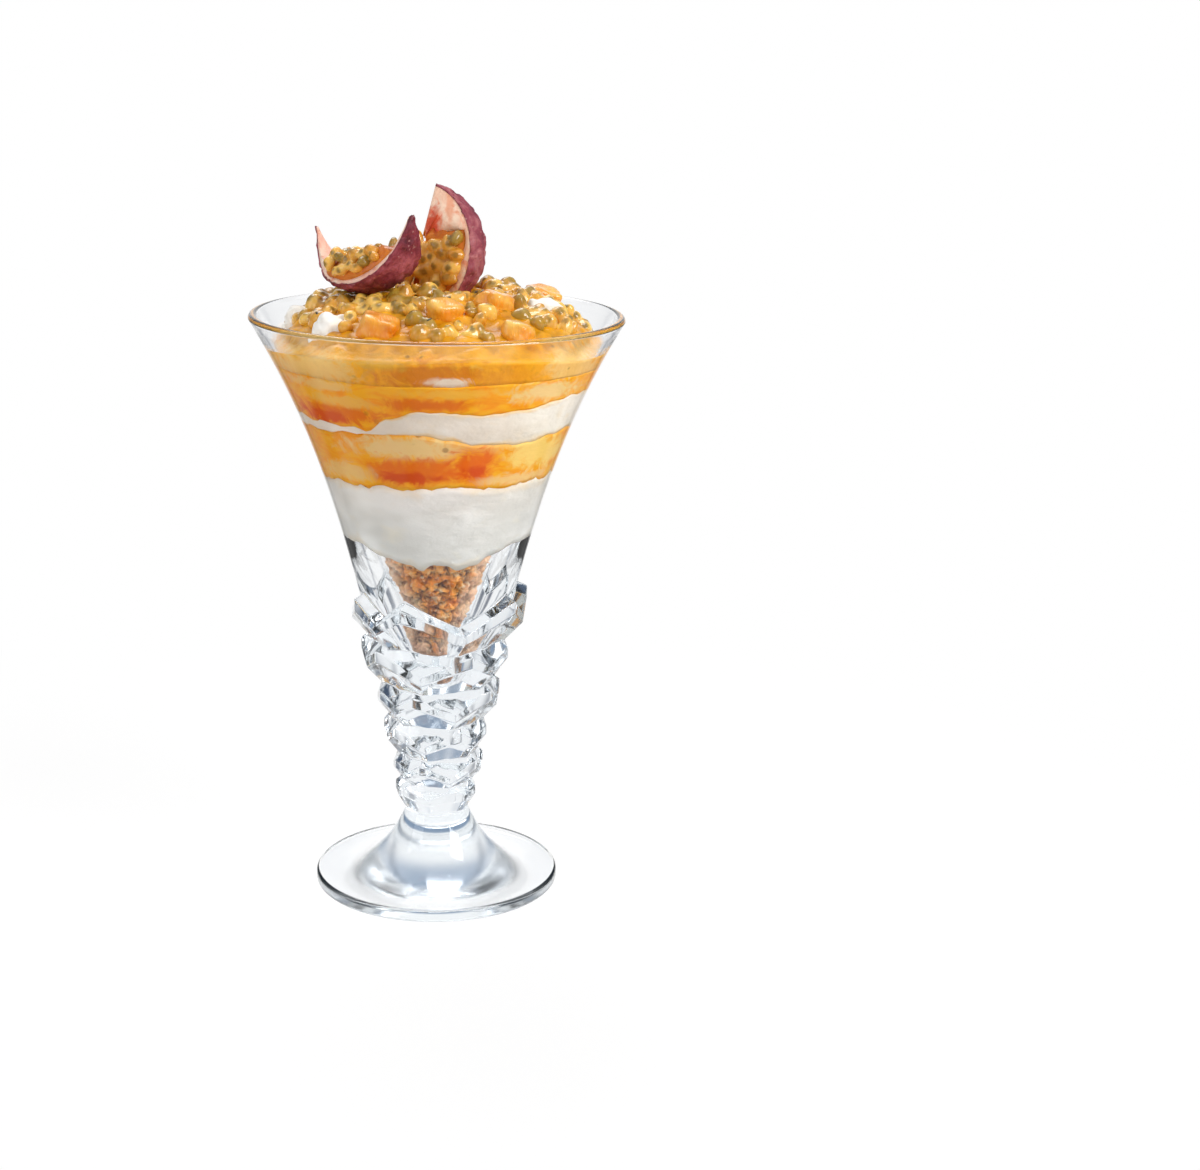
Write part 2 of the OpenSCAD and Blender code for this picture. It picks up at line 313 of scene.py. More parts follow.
def collar_step(i, angle):
    """The two corner columns around an angle on collar i, and how far it lies between them."""
    turn = FACET_TURN - (0 if i % 2 == 0 else 30)
    part = (angle - turn) % 120
    m = max(m for m in range(4) if STEPS[m] <= part + 1e-6)
    start = angle - part
    return start, m, (part - STEPS[m]) / (STEPS[m + 1] - STEPS[m])


def rise(i, m):
    return [-VALLEY_DROP, PEAK_RISE, -0.56 * VALLEY_DROP, PEAK_RISE, -VALLEY_DROP][m] * ZIGZAG[i]


def ridge_line(i, side):
    """The upper (side 1) or lower (side -1) ridge of collar i: straight from corner to corner."""
    middle = STEM_TOP - RIDGE_AT[i] * STEM_H
    reach = (root_r[i] + root_r[i + 1]) / 2 + FACET_OUT * FINER[i]
    face = FACET_FACE * math.sqrt(FINER[i])
    ring = []
    for angle in ANGLES:
        start, m, share = collar_step(i, angle)
        ends = []
        for corner in (m, m + 1):
            radius = reach * [0.97, 1, 0.96, 1, 0.97][corner]
            half = face * [0.38, 0.5, 0.38, 0.5, 0.38][corner]
            z = middle + rise(i, corner) + side * half
            ends.append(Vector(turn_to(start + STEPS[corner], radius, z)))
        ring.append(ends[0].lerp(ends[1], share))
    return ring


def core_r(z):
    """The plain cone that the bowl ends in, down to the first valley."""
    low = 0.98 * root_r[1]
    return low + (STEM_R - low) * (z - root_z[1]) / (STEM_TOP - root_z[1])


def ledge_line():
    """Where the top collar's ledge meets the bowl: it follows the zigzag a little above it."""
    return [turn_to(angle, core_r(p.z + LEDGE_RISE), p.z + LEDGE_RISE)
            for angle, p in zip(ANGLES, ridge_line(0, 1))]


def slope_at(i, angle):
    _, m, share = collar_step(i, angle)
    return 0.35 * (rise(i, m) * (1 - share) + rise(i, m + 1) * share)


def valley_line(i):
    """The valley above collar i. Where the two collars run into each other it is shallower."""
    ring = []
    for angle in ANGLES:
        below = slope_at(i, angle) if i < 6 else 0
        above = slope_at(i - 1, angle) if i > 0 else below
        meet = max(0.0, below - above)
        ring.append(turn_to(angle, 0.98 * root_r[i] + 0.8 * meet, root_z[i] + (below + above) / 2))
    return ring


# %% [markdown]
# With the stem's lines known, the whole outline is walked once: under the foot and round its
# edge, up the stem and the bowl, over the lip and down the inside. Lathing it would need one
# outline for all directions, which the zigzag has not. Three rings above the top collar ease the
# zigzag into the bowl.

# %% Rings of the whole glass
def even_ring(radius, z):
    return [turn_to(angle, radius, z) for angle in ANGLES]


glass_rings = [even_ring(s * (FOOT_R - FOOT_ROUND), 0) for s in (0.25, 0.5, 0.75, 0.92)]
edge_r = FOOT_R - FOOT_ROUND
glass_rings += [even_ring(edge_r + FOOT_ROUND * cos(radians(a)), FOOT_ROUND * (1 + sin(radians(a))))
                for a in (-90, -67, -45, -22, 0)]
glass_rings += [even_ring(edge_r + FOOT_ROUND * cos(radians(a)),
                          FOOT_T - FOOT_ROUND * (1 - sin(radians(a)))) for a in (0, 22, 45, 67)]
glass_rings += [even_ring(edge_r + (NECK_R - edge_r) * s, FOOT_T + (FOOT_H - FOOT_T) * s ** 3.2)
                for s in [k / 28 for k in range(29)]]
stem_from = len(glass_rings)
glass_rings += [valley_line(6)]
for i in (5, 4, 3, 2, 1):
    glass_rings += [ridge_line(i, -1), ridge_line(i, 1), valley_line(i)]
glass_rings += [ridge_line(0, -1), ridge_line(0, 1), ledge_line()]
stem_to = len(glass_rings)
for share in (0.3, 0.6, 0.85):
    heights = [p[2] + (STEM_TOP + 4 - p[2]) * share for p in ledge_line()]
    glass_rings.append([turn_to(angle, core_r(z), z) for angle, z in zip(ANGLES, heights)])
glass_rings += [even_ring(bowl_out(z), z) for z in
                [STEM_TOP + 4.5 + (LIP_Z - STEM_TOP - 4.5) * k / 34 for k in range(35)]]
glass_rings += [even_ring(RIM_R - LIP_R + LIP_R * cos(radians(a)), LIP_Z + LIP_R * sin(radians(a)))
                for a in range(20, 180, 20)]
glass_rings += [even_ring(cavity_r(z), z) for z in
                [LIP_Z + (CAVITY_Z - LIP_Z) * k / 48 for k in range(49)]]
glass_rings += [even_ring(CAVITY_LOW * cos(radians(a)),
                          CAVITY_Z - 0.5 * CAVITY_LOW * sin(radians(a))) for a in range(12, 90, 12)]
print("rings in the glass:", len(glass_rings))

# %% [markdown]
# Clear glass has no colour to paint. Its look is what it bends and mirrors, so the shader is a
# full glass with an index of 1.5 and a trace of blue-green in the thick parts. A pressed stem is
# duller than the bowl above it, so the stem and the cone of the foot get a low roughness. The
# stem's facets and the foot's cone are also tinted a faint grey-blue, which is painted shade for
# the dark the glass picks up round it. A lamp's light would be lost in glass, so for shadow rays
# it lets light straight through.

# %% Glass finish
def clear_glass():
    f = Finish("clear_glass")
    here = f.place()
    high, far = here.axis("Z"), (here.axis("X") ** 2 + here.axis("Y") ** 2) ** 0.5
    stem = (1 - high.step(88, 96)) * 0.07
    foot = (1 - high.step(10, 22)) * (1 - far.step(25, 31)) * 0.08
    cone = high.step(9, 19) * (1 - high.step(20, 32))
    facets = high.step(20, 32) * (1 - high.step(88, 98))
    # Painted shade: the stem's facets and the foot's cone are tinted a faint grey-blue.
    clear = f.mix(facets, (1, 1, 1, 1), (0.935, 0.948, 0.966, 1))
    body = f.principled(**{
        "Base Color": f.mix(cone, clear, (0.92, 0.945, 0.97, 1)), "IOR": 1.5,
        "Transmission Weight": 1.0, "Roughness": stem * (1 - far.step(25, 31)) + foot})
    through = f.node("ShaderNodeBsdfTransparent", {}, Color=(0.97, 0.985, 0.99, 1))
    lamp = f.ray("Is Shadow Ray")
    tint = f.node("ShaderNodeVolumeAbsorption", {}, Color=(0.72, 0.86, 0.93, 1), Density=5.0)
    return f.done(Surface=f.blend(lamp, body, through), Volume=tint)


# %% [markdown]
# The skin is made from those rings. Every fold on the stem that is sharper than 14 degrees gets a
# narrow bevel, and a weighted-normal modifier keeps the facets flat while the bevels look round.

# %% The glass itself
SHARP_FOLD, BEVEL_W = 14, 0.42


def pressed_glass():
    points, faces = skin_rings(glass_rings, (0, 0, 0), (0, 0, CAVITY_Z - 0.5 * CAVITY_LOW))
    piece = make_piece("pressed_glass", points, faces, clear_glass(), "glass", ["glass"], "glass")
    work = bmesh.new()
    work.from_mesh(piece.data)
    work.verts.ensure_lookup_table()
    low, high = stem_from * COLUMNS, stem_to * COLUMNS
    sharp = [e for e in work.edges
             if all(low <= v.index < high for v in e.verts)
             and len(e.link_faces) == 2 and e.calc_face_angle() > radians(SHARP_FOLD)]
    bmesh.ops.bevel(work, geom=sharp, offset=BEVEL_W * MM, segments=2, profile=0.6,
                    affect="EDGES", clamp_overlap=True)
    work.to_mesh(piece.data)
    work.free()
    smooth(piece.data)
    piece.modifiers.new("facets", "WEIGHTED_NORMAL").weight = 100
    print("edges rounded on the stem:", len(sharp))


pressed_glass()

# %% [markdown]
# The serving is spooned in by layers, so the lines between them wander. Each border is a height
# for every direction, drawn through a few chosen points with soft curves between. Creams and
# fruit wet the glass, and where they do there is no film of air: they look as wide as the glass
# itself. So their skins reach a hair into the glass. The crumble is dry, keeps a film of air, and
# looks much narrower. Each layer also stores how far up its depth a point lies, because juice
# stains cream along its borders.

# %% Borders of the layers
FILL_Z, TOP_R, MOUND_H, WET = 171.5, cavity_r(171.5) - 0.3, 14.8, 0.06
OUTWARD = (0.3, 0.6, 0.85, 0.95)
BORDERS = [
    [(0, 73.6)],
    [(-90, 113.6), (-65, 113.4), (-40, 110.3), (-20, 108.4), (-12, 107), (-4, 109), (8, 108.6),
     (16, 107), (30, 108.6), (40, 111), (62, 113.6), (90, 113.8), (180, 109)],
    [(-90, 133.2), (-60, 133.4), (-22, 133.8), (0, 134.3), (30, 133.7), (60, 134.1), (120, 134.8),
     (180, 133.4)],
    [(-90, 149.2), (-58, 150), (-37, 150.5), (-12, 151.4), (4, 150), (14, 148.5), (38, 147.3),
     (67, 149), (110, 150), (180, 149)],
    [(-110, 154.5), (-72, 153), (-50, 152.4), (-29, 152.2), (-19, 155.5), (-8, 158.8), (8, 158.2),
     (23, 157.4), (44, 159.4), (65, 160.6), (100, 158.5), (150, 156)],
    [(-80, 166.9), (-20, 166.4), (40, 166.9), (140, 166.5)],
    [(0, FILL_Z)]]
DOME = [0, 0.9, 0.7, -0.9, 0.9, -0.4]
TORN = [0, 0.5, 1.5, 0.9, 1.0, 0.3]


def border(i, angle):
    marks = BORDERS[i]
    if len(marks) == 1:
        return marks[0][1]
    angle = (angle - marks[0][0]) % 360 + marks[0][0]
    ring = marks + [(marks[0][0] + 360, marks[0][1])]
    for (a, za), (b, zb) in zip(ring, ring[1:]):
        if angle <= b:
            t = (angle - a) / (b - a)
            torn = noise.noise(Vector(turn_to(angle, 7, 3 * i)))
            torn += 0.5 * noise.noise(Vector(turn_to(angle, 15, i)))
            return za + (zb - za) * t * t * (3 - 2 * t) + TORN[i] * torn
    return marks[0][1]


def flat_ring(level, share):
    """A ring on a border, at a share of the way out to the glass."""
    ring = []
    for angle in ANGLES:
        edge = border(level, angle)
        ring.append(turn_to(angle, (cavity_r(edge) + WET) * share,
                            edge + DOME[level] * (1 - share * share)))
    return ring


def side_rings(bottom, top, count):
    """Rings up the inside of the glass, between two heights that change with the angle."""
    rings = []
    for k in range(count + 1):
        heights = [bottom(a) + (top(a) - bottom(a)) * k / count for a in ANGLES]
        rings.append([turn_to(a, cavity_r(z) + WET, z) for a, z in zip(ANGLES, heights)])
    return rings


def lay_layer(name, node, level, finish, slot):
    """One layer, with the share of its depth kept at every point for its finish."""
    rings = [flat_ring(level, s) for s in OUTWARD]
    rings += side_rings(lambda a: border(level, a), lambda a: border(level + 1, a), 12)
    rings += [flat_ring(level + 1, s) for s in reversed(OUTWARD)]
    points, faces = skin_rings(rings, (0, 0, border(level, 0) + DOME[level]),
                               (0, 0, border(level + 1, 0) + DOME[level + 1]))
    piece = make_piece(name, points, faces, finish, "parfait", [node], slot)
    depth = [min(1, max(0, (q - 4) / 12)) for q in range(len(rings)) for _ in range(COLUMNS)]
    keep_numbers(piece, "depth", depth + [0, 1])


print("upper fruit in front: from", round(border(4, 0), 1), "to", round(border(5, 0), 1), "mm")

# %% [markdown]
# Whipped cream is close to white, but never one flat tone. Its darker blue-grey patches are
# painted shade, standing in for its hollows and laid by a broad noise, and warmer places are
# where juice has run in. Two soft noises of different size give that, and a shallow bump gives
# the drag marks of the spoon.

# %% Cream finish
def whipped_cream(name, low, high, warm, gloss=0.12, stain=0.0):
    f = Finish(name)
    here = f.place((1, 1, 1.6))
    broad = f.noise(here, 22, 2).step(0.35, 0.68)
    fine = f.noise(here, 3.2, 3)
    # Painted shade: the darker low tone, laid by the broad noise, stands in for the hollows.
    tone = f.mix(broad, low, high)
    tone = f.mix(f.noise(here, 9, 3, warp=0.6).step(0.56, 0.8) * 0.45, tone, warm)
    if stain:
        edge = f.attribute("depth") * 2 - 1
        near = edge.math("ABSOLUTE") + (f.noise(here, 8, 3, warp=0.5) - 0.5) * 0.9
        tone = f.mix(near.step(0.72, 1.12) * stain, tone, "EFC878")
    skin = f.bump(fine + f.noise(here, 11, 2) * 2, 0.35)
    return f.done(Surface=f.principled(**{
        "Base Color": tone, "Roughness": fine * 0.2 + 0.42, "Specular IOR Level": gloss,
        "Normal": skin}))


lay_layer("whipped_cream_lower", "cream_lower", 1,
          whipped_cream("whipped_cream", "E4E2DC", "FBFAF6", "F6EEDA", 0.06, 0.25), "cream")
lay_layer("whipped_cream_upper", "cream_upper", 3,
          whipped_cream("fruit_stained_cream", "E8E2D6", "FBF8F0", "F4DDB0", 0.06, 0.8), "cream")

# %% [markdown]
# The fruit layers are a thick coulis with soft mango in it. Juice is clear orange, red-orange
# where the fruit sank, and pale yellow where mango or cream lies against the glass. Such a patch
# has a place and a size of its own: `patch` measures how far a point is from the middle of it,
# and noise frays its edge.

# %% Coulis finish
def patch(f, here, x, z, wide, tall, fray=1.0):
    """1 inside an oval on the front of the glass, 0 outside, with a frayed edge. Millimetres."""
    across = (here.axis("X") - x) / wide
    up = (here.axis("Z") - z) / tall
    far = (across * across + up * up) ** 0.5
    torn = (f.noise(here, 6, 5, 0.68, 1.4) - 0.5) * (2.6 * fray)
    return 1 - (far + torn).step(0.45, 1.3)


def patched(f, here, tone, patches, fray=1.0):
    """Lays patches over a tone, each in its own shade and strength."""
    for x, z, wide, tall, shade, much in patches:
        tone = f.mix(patch(f, here, x, z, wide, tall, fray) * much, tone, shade)
    return tone


def specks(f, here, size, dot, spread, where):
    """Small dots: the cores of cells, and only where a broad noise is high."""
    return (1 - f.cells(here, size).step(*dot)) * f.noise(here, spread, 1).step(*where)


def coulis(name, base, swirl, patches, seedy):
    f = Finish(name)
    here = f.place()
    flat = f.place((0.6, 0.6, 1.8))
    tone = f.mix(f.noise(flat, 6, 4, 0.6, 1.2).step(0.38, 0.64), base, swirl)
    tone = patched(f, here, tone, patches)
    tone = f.mix(specks(f, here, 6.5, (0.1, 0.19), 14, (0.52, 0.6)) * seedy, tone, "7A3D10")
    return f.done(Surface=f.principled(**{
        "Base Color": tone, "Roughness": 0.4, "Specular IOR Level": 0.05,
        "Normal": f.bump(f.noise(flat, 4, 3), 0.3)}))


lower_fruit = coulis("coulis_lower_fruit", "FCB62A", "FAA31A", [
    (-8, 147, 17, 4.2, "F5D796", 0.9), (18, 148, 13, 3, "F3C070", 0.7),
    (27, 144, 8, 5.5, "FBDA7C", 0.9), (-6, 139.6, 15, 4.2, "EE7206", 0.95),
    (10, 141, 6.5, 6, "EC6A0A", 0.95), (-9, 137.6, 9, 1.9, "DC4C06", 0.9),
    (11, 139.4, 4, 2, "DE4E08", 0.9), (-24, 137.5, 7, 3, "F2D08A", 0.7),
    (20, 136, 10, 2, "F3D9A0", 0.6)], 0.5)
upper_fruit = coulis("coulis_upper_fruit", "FFBA20", "FC9F0E", [
    (-27, 155.8, 13, 3.6, "E97412", 0.9), (-30, 154.6, 7, 2.2, "DC5410", 0.85),
    (-26, 160.3, 9, 2, "F8C860", 0.8), (-3, 160.8, 13, 2.2, "E87400", 0.95),
    (-33, 164.8, 9, 1.8, "F2CB80", 0.8), (30, 163.5, 10, 3.4, "F6DA98", 0.9),
    (4, 164.4, 14, 1.5, "FBC244", 0.8)], 0.3)
lay_layer("fruit_coulis_lower", "coulis_lower", 2, lower_fruit, "coulis")
lay_layer("fruit_coulis_upper", "coulis_upper", 4, upper_fruit, "coulis")

# %% [markdown]
# The crumble is baked oats and biscuit in clusters, pressed against the glass by the cream. A
# field of nuggets comes from cell noise: the distance to the nearest cell edge gives each nugget
# a rounded body and leaves dark gaps between them. Nuggets of three sizes are added up, on a
# place that noise has shifted first, so no two look alike. They are carved into the side of the
# layer, so the clusters cast real shadows on each other, and the depth of the gaps is stored for
# the finish, which paints shade into them as well. The finish also paints light: the crumble is
# paler towards its left and right edges as seen from the front.

# %% Crumble
def nugget(p, size):
    near = noise.voronoi(Vector(p) / size)[0]
    return min(1.0, (near[1] - near[0]) * 1.6) ** 0.6


LEAP = Vector((31.7, 12.3, 5.9))
AIR_FILM, UNDER_CREAM, GAP_DEPTH, CRUMB_COLUMNS, CRUMB_ROWS = 0.35, 0.4, 3.6, 240, 90


def crumble_finish():
    f = Finish("baked_crumble")
    here = f.place()
    grain = f.noise(here, 1.3, 4, 0.65)
    tone = f.ramp(f.noise(here, 4.5, 4, 0.65), (0.3, "C85A1C"), (0.43, "F28E30"),
                  (0.56, "FFB256"), (0.7, "FFD89C"))
    tone = f.mix(grain.step(0.54, 0.7) * 0.5, tone, "FFEBC8")
    tone = f.mix(f.noise(here, 2.2, 3, 0.7, 1.2).step(0.56, 0.64) * 0.75, tone, "A84812")
    tone = f.mix(f.noise(here, 3.1, 3, 0.6, 0.8).step(0.58, 0.66) * 0.7, tone, "FFE6BC")
    # Painted light: paler towards the left and right edges, as seen from the front.
    aside = (here.axis("X").math("ABSOLUTE") - (here.axis("Z") - 84) * 0.42) / 3.5
    tone = f.mix((aside + f.noise(here, 6, 3) * 1.6).step(0.7, 1.7) * 0.6, tone, "FBDCC0")
    # Darker towards the bottom of the cavity.
    tone = f.mix((1 - here.axis("Z").step(76, 88)) * 0.55, tone, "9A4C20")
    # Painted shade: the deep gaps between the nuggets are darkened.
    tone = f.mix((f.attribute("gap") * 2.2 - 0.7).clamp() * 0.95, tone, "4E1E10")
    return f.done(Surface=f.principled(**{
        "Base Color": tone, "Roughness": grain * 0.3 + 0.55, "Specular IOR Level": 0.1,
        "Normal": f.bump(grain, 0.7)}))


def baked_crumble():
    rings, gaps = [], []

    def add(radius_of, z_of):
        ring = []
        for k in range(CRUMB_COLUMNS):
            angle = 360 / CRUMB_COLUMNS * k
            z, radius = z_of(angle), radius_of(angle, z_of(angle))
            p = Vector(turn_to(angle, radius, z))
            q = p / 2.2
            rough = p + 1.5 * Vector((noise.noise(q), noise.noise(q + LEAP), noise.noise(q - LEAP)))
            body = 0.45 * nugget(rough, 5.2) + 0.35 * nugget(rough + LEAP, 2.5)
            body += 0.2 * nugget(rough - LEAP, 1.3)
            inward = -Vector((p.x, p.y, 0)).normalized() if radius > 1 else Vector()
            ring.append(p + inward * (1 - body) * min(GAP_DEPTH, 0.3 * radius))
            # How deep a point lies in a gap, for the painted shade there.
            gaps.append((1 - body) ** 1.3)
        rings.append(ring)

    bed = CAVITY_Z - 0.1 * CAVITY_LOW
    add(lambda a, z: 0.5 * CAVITY_LOW, lambda a: bed - 0.6)
    add(lambda a, z: 0.85 * CAVITY_LOW, lambda a: bed)
    low = CAVITY_Z + 0.5
    for k in range(1, CRUMB_ROWS + 1):
        add(lambda a, z: cavity_r(z) - AIR_FILM,
            lambda a, k=k: low + (border(1, a) - UNDER_CREAM - low) * k / CRUMB_ROWS)
    for share in (0.9, 0.7, 0.45, 0.2):
        add(lambda a, z, s=share: s * (cavity_r(border(1, a)) - AIR_FILM),
            lambda a, s=share: border(1, a) - UNDER_CREAM + DOME[1] * (1 - s * s))
    points, faces = skin_rings(rings, (0, 0, bed - 0.6), (0, 0, 109))
    piece = make_piece("crumble_clusters", points, faces, crumble_finish(), "parfait",
                       ["crumble"], "crumble")
    keep_numbers(piece, "gap", gaps + [0, 0])


baked_crumble()

# %% [markdown]
# On top lies the fruit's own pulp, heaped into a mound. It is soft and lumpy: every aril that
# lies just under its surface pushes it up. The base of the mound is a grid of rings with those
# lumps carved in, and loose arils, mango and cream are then laid on it. Pulp that wets the glass
# has no shine of its own there, so its wet coat starts above the line where the glass ends.

# %% The mound
MOUND_ROWS, LUMP_SIZE, LUMP_RISE = 58, 5.6, 1.5


def mound_z(radius):
    return FILL_Z + MOUND_H * (1 - min(1, radius / TOP_R) ** 3.5)


def pulp_finish(name, pale, clear, deep, brown, patches=()):
    f = Finish(name)
    here = f.place()
    tone = f.ramp(f.noise(here, 9, 3, 0.6, 0.5), (0.3, deep), (0.46, clear),
                  (0.6, clear), (0.74, pale))
    tone = f.mix(f.noise(here, 3.5, 3).step(0.5, 0.66) * 0.5, tone, brown)
    tone = patched(f, here, tone, patches)
    tone = f.mix(specks(f, here, 5, (0.12, 0.22), 11, (0.5, 0.58)) * 0.6, tone, "5E4A1A")
    # Painted shade: darker amber in the gaps between the lumps.
    tone = f.mix(f.attribute("gap") * 0.6, tone, "9A6212")
    return f.done(Surface=f.principled(**{
        "Base Color": tone, "Roughness": 0.28, "Specular IOR Level": 0.1,
        "Coat Weight": here.axis("Z").step(172, 176) * 0.45,
        "Coat Roughness": 0.12, "Normal": f.bump(f.noise(here, 1.8, 3), 0.35)}))


def brim_z(angle):
    """How high the pulp stands against the glass: highest at the front."""
    return FILL_Z + 0.5 * sin(radians(5 * angle)) + 2.4 * max(0, cos(radians(angle))) ** 2


def pulp_mound():
    rings = [flat_ring(5, s) for s in OUTWARD] + side_rings(lambda a: border(5, a), brim_z, 6)
    gaps = [0] * (COLUMNS * len(rings))
    for q in range(1, MOUND_ROWS):
        share = 1 - q / MOUND_ROWS
        ring = []
        for a in ANGLES:
            radius = TOP_R * share
            p = Vector(turn_to(a, radius, mound_z(radius)))
            lump = nugget(p, LUMP_SIZE)
            blend = min(1, (1 - share) * 12)
            wave = (brim_z(a) - FILL_Z) * max(0, 1 - (1 - share) * 4)
            ring.append((p.x, p.y, p.z + wave + blend * (LUMP_RISE * lump - 0.9)))
            # How deep a point lies between lumps, for the painted shade there.
            gaps.append((1 - lump) * blend)
        rings.append(ring)
    points, faces = skin_rings(rings, (0, 0, border(5, 0) + DOME[5]), (0, 0, mound_z(0)))
    finish = pulp_finish("fruit_pulp", "FACA50", "F8AE18", "F09C0E", "D8961C", [
        (-34, 170, 13, 6, "F2CF84", 0.75), (38, 170, 8, 7, "F3CC80", 0.75),
        (-2, 170.2, 16, 4.2, "DC7A00", 0.8), (3, 168, 6, 1.7, "F8F0E0", 0.9),
        (20, 169, 9, 2.5, "F0A21E", 0.7), (-16, 173, 8, 2, "D9A838", 0.6)])
    piece = make_piece("pulp_mound", points, faces, finish, "parfait", ["topping"], "pulp")
    keep_numbers(piece, "gap", gaps + [0, 0])


pulp_mound()

# %% [markdown]
# An aril is a juice sac with one dark seed in it. It is drop-shaped, blunt at one end, and its
# juice runs into the sacs beside it, so a heap has one wet skin. Hundreds of clear sacs would be
# heavy to render. So the drops are joined in one mesh, a voxel remesh melts those that touch, and
# a smooth modifier rounds the hollows. Then every point looks up the drop that it came from and
# stores two numbers for the finish: how ripe that drop is, and how much its seed shows there.
# Turns and sizes come from a seeded random generator, so every run is the same.

# %% One aril, many times
def ball(detail):
    work = bmesh.new()
    bmesh.ops.create_icosphere(work, subdivisions=detail, radius=1)
    points = [v.co.copy() for v in work.verts]
    faces = [tuple(v.index for v in f.verts) for f in work.faces]
    work.free()
    return points, faces


def gather(bodies):
    """Many small bodies, each with points and faces, as one list of points and one of faces."""
    points, faces = [], []
    for more, sides in bodies:
        faces += [tuple(i + len(points) for i in f) for f in sides]
        points += more
    return points, faces


BALL_POINTS, BALL_FACES = ball(2)


def aril_points(centre, radius, turn, wobble):
    """One drop, blunt at one end and a little uneven."""
    points = []
    for p in BALL_POINTS:
        thin = 1 - 0.26 * p.x
        q = Vector((1.18 * p.x, 0.9 * p.y * thin, 0.86 * p.z * thin))
        q *= 1 + 0.22 * (noise.noise(q * 1.1 + wobble) + 0.2)
        points.append(centre + turn @ q * radius)
    return points


def gel_finish(name, light, amber, olive, seed):
    f = Finish(name)
    here = f.place()
    tone = f.ramp(f.attribute("ripe") * 0.6 + f.noise(here, 6, 3, 0.5) * 0.5, (0.3, olive),
                  (0.5, amber), (0.74, light))
    tone = f.mix(f.noise(here, 2.2, 3).step(0.58, 0.78) * 0.3, tone, "F4D78E")
    tone = f.mix(f.attribute("seed") * 0.8, tone, seed)
    return f.done(Surface=f.principled(**{
        "Base Color": tone, "Roughness": 0.2 + 0.12 * f.noise(here, 3, 1),
        "Specular IOR Level": 0.45, "Coat Weight": 0.6, "Coat Roughness": 0.06,
        "Subsurface Weight": 0.2, "Subsurface Radius": (0.6, 0.35, 0.08),
        "Subsurface Scale": 0.004}))


def melt(piece, grain, rounds):
    """Joins drops that touch into one wet skin, with soft hollows between them."""
    join = piece.modifiers.new("join", "REMESH")
    join.mode, join.voxel_size = "VOXEL", grain * MM
    soft = piece.modifiers.new("soft", "SMOOTH")
    soft.factor, soft.iterations = 0.5, rounds
    bpy.context.view_layer.update()
    graph = bpy.context.evaluated_depsgraph_get()
    whole = bpy.data.meshes.new_from_object(piece.evaluated_get(graph))
    finish = piece.data.materials[0]
    piece.modifiers.clear()
    piece.data = whole
    if not len(whole.materials):
        whole.materials.append(finish)
    smooth(whole)


def lay_arils(name, spots, finish, body, nodes, slot, seed=5, grain=0.62):
    """spots holds a centre, a radius and the side to which the seed shows."""
    dice = random.Random(seed)
    drops, aims, ripe = [], [], []
    for centre, radius, side in spots:
        turn = Euler([dice.uniform(0, 6.28) for _ in range(3)]).to_matrix()
        aims.append((side + 0.5 * Vector([dice.uniform(-1, 1) for _ in range(3)])).normalized())
        ripe.append(dice.random())
        wobble = Vector((dice.uniform(0, 99), 0, 0))
        drops.append((aril_points(centre, radius, turn, wobble), BALL_FACES))
    piece = make_piece(name, *gather(drops), finish, body, nodes, slot)
    melt(piece, grain, 3)
    tree = kdtree.KDTree(len(spots))
    for i, (centre, radius, side) in enumerate(spots):
        tree.insert(centre * MM, i)
    tree.balance()
    seeds, tones = [], []
    for v in piece.data.vertices:
        near, i, far = tree.find(v.co)
        away = (v.co - near).normalized()
        shows = away.dot(aims[i])
        wide = 0.84 + 0.1 * noise.noise(v.co / MM * 0.9)
        seeds.append(max(0.0, min(1.0, (shows - wide) / 0.12)) * (0.35 + 0.65 * ripe[i]))
        tones.append(ripe[i])
    keep_numbers(piece, "seed", seeds)
    keep_numbers(piece, "ripe", tones)
    print(name, "melted to", len(piece.data.polygons), "faces")


# %% [markdown]
# The big things on the mound have their own places: cubes of mango, dollops of cream and the two
# wedges. The arils then fill what is left. They follow a sunflower spiral, which covers a disc
# evenly, and a small random step breaks its pattern.

# %% Where things lie on the mound
FRUIT_R, WEDGE_HALF, SKIN_T, PITH_T, WEDGE_SUNK = 20.5, 33, 1.3, 3.1, 8.7
MANGO_A, DOLLOP_R, ARIL_R = 11.0, 6.0, 2.7
MANGO_AT = [(0.04, -0.58, 20), (0.34, -0.38, 50), (-0.34, -0.7, -15), (0.46, -0.68, 70),
            (-0.16, 0.6, 35), (0.64, 0.24, 10)]
CREAM_AT = [(-0.62, -0.48), (0.63, -0.18), (-0.82, 0.04), (0.16, 0.74), (-0.48, 0.52)]
LEFT_XY = Vector((-1.06 * FRUIT_R, -0.195 * FRUIT_R))
RIGHT_XY = Vector((-0.27 * FRUIT_R, 0.34 * FRUIT_R))
LEFT_C = Vector((*LEFT_XY, mound_z(LEFT_XY.length) + FRUIT_R + 0.3))
RIGHT_C = Vector((*RIGHT_XY, FILL_Z + MOUND_H + FRUIT_R - WEDGE_SUNK))


def turned(*turns):
    """Turns about x, y or z in degrees, the first one outermost."""
    whole = Matrix.Identity(4)
    for axis, angle in turns:
        whole = whole @ Matrix.Rotation(radians(angle), 4, axis)
    return whole


LEFT_TURN = Matrix.Translation(LEFT_C) @ turned(("Z", -42), ("Y", -9), ("X", 2), ("Y", 90))
RIGHT_TURN = Matrix.Translation(RIGHT_C) @ turned(("Y", 12), ("Z", -7))


